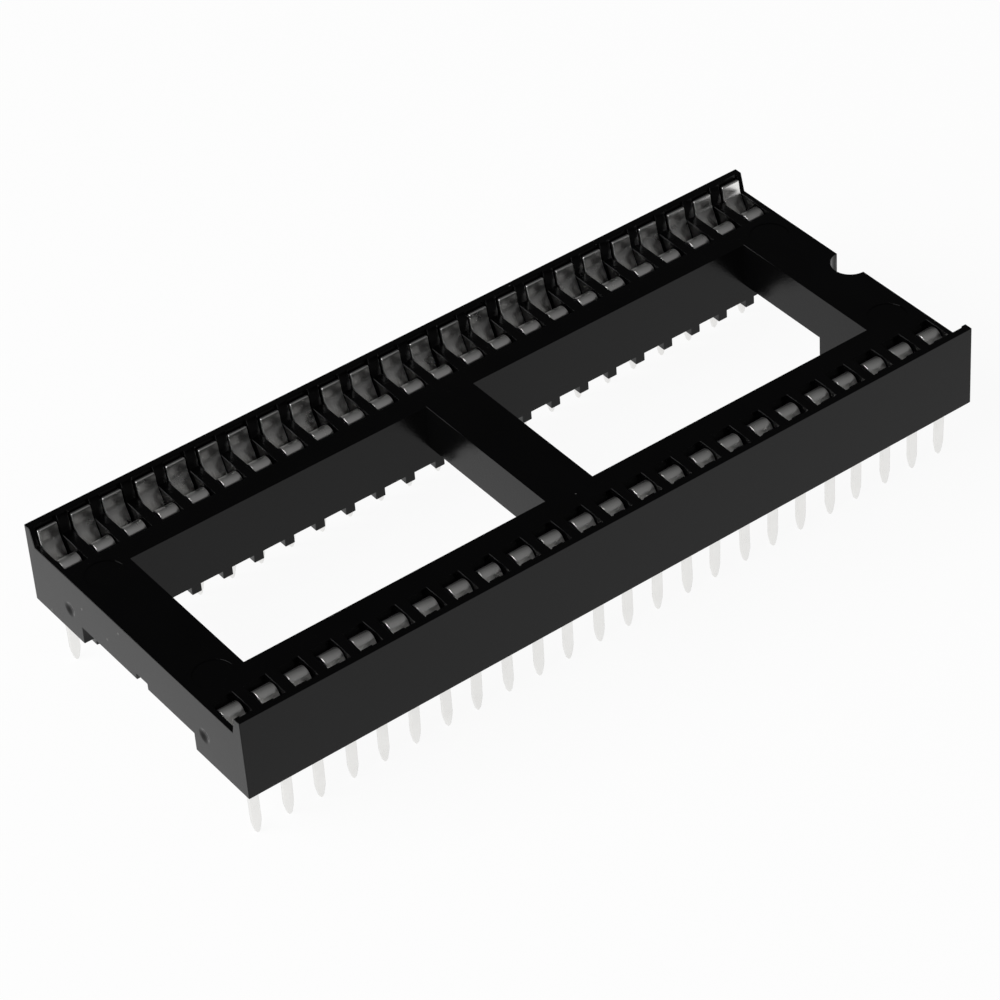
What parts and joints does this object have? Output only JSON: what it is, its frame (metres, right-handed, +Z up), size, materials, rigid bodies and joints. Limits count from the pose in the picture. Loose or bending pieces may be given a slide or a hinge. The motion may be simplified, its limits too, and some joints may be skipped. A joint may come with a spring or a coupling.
{
  "type": "dip ic socket",
  "caption": "Open-frame ladder socket for a wide shrink-pitch dual-in-line package: black moulded housing, two rows of stamped dual-leaf contacts, notch at the first contact's end.",
  "frame": {"origin": "centre of the footprint on the seating plane, where the standoff ribs touch the board", "axes": "+X along the rows towards the notch, +Y across the rows towards the row of the first contact, +Z up from the board"},
  "size_m": [0.0426, 0.0178, 0.008],
  "materials": {
    "moulding": "satin black glass-filled thermoplastic",
    "contact_plating": "bright tin plate over phosphor bronze"
  },
  "bodies": {
    "root": {"housing": "moulding", "contact_01": "contact_plating", "contact_02": "contact_plating", "contact_03": "contact_plating", "contact_04": "contact_plating", "contact_05": "contact_plating", "contact_06": "contact_plating", "contact_07": "contact_plating", "contact_08": "contact_plating", "contact_09": "contact_plating", "contact_10": "contact_plating", "contact_11": "contact_plating", "contact_12": "contact_plating", "contact_13": "contact_plating", "contact_14": "contact_plating", "contact_15": "contact_plating", "contact_16": "contact_plating", "contact_17": "contact_plating", "contact_18": "contact_plating", "contact_19": "contact_plating", "contact_20": "contact_plating", "contact_21": "contact_plating", "contact_22": "contact_plating", "contact_23": "contact_plating", "contact_24": "contact_plating", "contact_25": "contact_plating", "contact_26": "contact_plating", "contact_27": "contact_plating", "contact_28": "contact_plating", "contact_29": "contact_plating", "contact_30": "contact_plating", "contact_31": "contact_plating", "contact_32": "contact_plating", "contact_33": "contact_plating", "contact_34": "contact_plating", "contact_35": "contact_plating", "contact_36": "contact_plating", "contact_37": "contact_plating", "contact_38": "contact_plating", "contact_39": "contact_plating", "contact_40": "contact_plating", "contact_41": "contact_plating", "contact_42": "contact_plating", "contact_43": "contact_plating", "contact_44": "contact_plating", "contact_45": "contact_plating", "contact_46": "contact_plating", "contact_47": "contact_plating", "contact_48": "contact_plating"}
  },
  "joints": []
}
